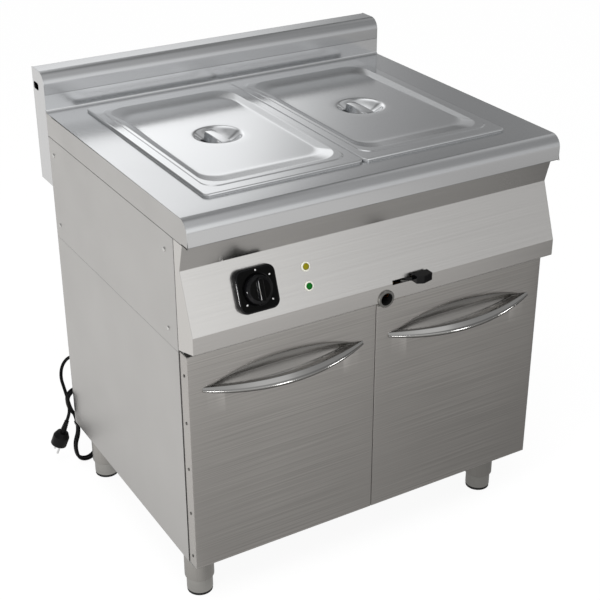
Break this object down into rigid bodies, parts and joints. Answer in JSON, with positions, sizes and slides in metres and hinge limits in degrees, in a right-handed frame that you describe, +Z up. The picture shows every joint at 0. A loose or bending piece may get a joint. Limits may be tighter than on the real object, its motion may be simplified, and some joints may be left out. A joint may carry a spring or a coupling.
{
  "type": "bain marie",
  "caption": "Free-standing electric bain marie: lidded gastronorm pans in a worktop well, splashback, sloping control panel with knob and lamps, drain tap, door cabinet on legs.",
  "frame": {"origin": "on the floor, at the middle of the object's own width and depth, the free cord left out", "axes": "+X to the right seen from the front, +Y from the front to the back, +Z up"},
  "size_m": [0.858, 0.7454, 0.942],
  "materials": {
    "satin_steel": "horizontally brushed stainless sheet",
    "worktop_steel": "fine satin stainless sheet",
    "bright_steel": "bright pressed stainless",
    "chrome_plate": "polished plating",
    "brass": "turned brass",
    "element_sheath": "heat-darkened sheath",
    "black_gloss": "gloss black moulding",
    "black_matt": "matt black moulding",
    "cord_rubber": "smooth rubber sheath",
    "amber_glass": "tinted lamp lens",
    "green_glass": "tinted lamp lens"
  },
  "bodies": {
    "carcass": {"base_floor": "satin_steel", "left_side_panel": "satin_steel", "right_side_panel": "satin_steel", "rear_panel": "satin_steel", "module_base": "satin_steel", "upper_left_side": "satin_steel", "upper_right_side": "satin_steel", "worktop": "worktop_steel", "splashback": "worktop_steel", "splashback_left_cap": "satin_steel", "splashback_right_cap": "satin_steel", "control_panel": "satin_steel", "water_tank": "satin_steel", "divider_bar": "satin_steel", "heating_element": "element_sheath", "thermostat_body": "black_matt", "thermostat_bulb": "bright_steel", "terminal_block": "black_matt", "knob_bezel": "black_gloss", "lamp_bezels": "chrome_plate", "amber_lamp_lens": "amber_glass", "green_lamp_lens": "green_glass", "drain_pipe": "bright_steel", "valve_body": "brass", "drain_spout": "chrome_plate", "hinge_brackets": "chrome_plate", "door_catches": "black_matt", "leg_sleeves": "bright_steel", "side_screws": "chrome_plate", "cable_gland": "black_matt", "cable_duct": "satin_steel", "cord_lead": "cord_rubber", "cord_hank": "cord_rubber", "cord_tail": "cord_rubber", "cord_tie": "black_matt", "mains_plug": "black_matt"},
    "left_door": {"left_door_skin": "satin_steel", "left_door_liner": "satin_steel", "left_door_handle": "chrome_plate", "left_door_rivets": "chrome_plate", "left_hinge_pins": "chrome_plate"},
    "right_door": {"right_door_skin": "satin_steel", "right_door_liner": "satin_steel", "right_door_handle": "chrome_plate", "right_door_rivets": "chrome_plate", "right_hinge_pins": "chrome_plate"},
    "left_pan": {"left_pan": "worktop_steel"},
    "right_pan": {"right_pan": "worktop_steel"},
    "left_lid": {"left_lid": "bright_steel", "left_lid_strap": "bright_steel"},
    "right_lid": {"right_lid": "bright_steel", "right_lid_strap": "bright_steel"},
    "thermostat_knob": {"control_knob": "black_gloss", "thermostat_spindle": "bright_steel"},
    "drain_lever": {"drain_lever": "black_matt", "valve_ball": "bright_steel"},
    "front_left_foot": {"front_left_foot": "bright_steel"},
    "front_right_foot": {"front_right_foot": "bright_steel"},
    "rear_left_foot": {"rear_left_foot": "bright_steel"},
    "rear_right_foot": {"rear_right_foot": "bright_steel"}
  },
  "joints": [
    {"name": "left_door_hinge", "type": "hinge", "parent": "carcass", "child": "left_door", "pos_m": [-0.3928, -0.2875, 0.358], "axis": [0, 0, -1], "range_deg": [0, 105]},
    {"name": "right_door_hinge", "type": "hinge", "parent": "carcass", "child": "right_door", "pos_m": [0.3928, -0.2875, 0.358], "axis": [0, 0, 1], "range_deg": [0, 105]},
    {"name": "left_pan_lift", "type": "slide", "parent": "carcass", "child": "left_pan", "axis": [0, 0, 1], "range_m": [0, 0.2]},
    {"name": "right_pan_lift", "type": "slide", "parent": "carcass", "child": "right_pan", "axis": [0, 0, 1], "range_m": [0, 0.2]},
    {"name": "left_lid_lift", "type": "slide", "parent": "left_pan", "child": "left_lid", "axis": [0, 0, 1], "range_m": [0, 0.12]},
    {"name": "right_lid_lift", "type": "slide", "parent": "right_pan", "child": "right_lid", "axis": [0, 0, 1], "range_m": [0, 0.12]},
    {"name": "knob_turn", "type": "hinge", "parent": "carcass", "child": "thermostat_knob", "pos_m": [-0.2661, -0.32055, 0.69979], "axis": [0, 0.9404, -0.3401], "range_deg": [0, 270]},
    {"name": "drain_lever_turn", "type": "hinge", "parent": "carcass", "child": "drain_lever", "pos_m": [0.035, -0.3225, 0.6187], "axis": [0, 0, -1], "range_deg": [0, 90]},
    {"name": "front_left_foot_screw", "type": "slide", "parent": "carcass", "child": "front_left_foot", "axis": [0, 0, -1], "range_m": [0, 0.025]},
    {"name": "front_right_foot_screw", "type": "slide", "parent": "carcass", "child": "front_right_foot", "axis": [0, 0, -1], "range_m": [0, 0.025]},
    {"name": "rear_left_foot_screw", "type": "slide", "parent": "carcass", "child": "rear_left_foot", "axis": [0, 0, -1], "range_m": [0, 0.025]},
    {"name": "rear_right_foot_screw", "type": "slide", "parent": "carcass", "child": "rear_right_foot", "axis": [0, 0, -1], "range_m": [0, 0.025]}
  ]
}
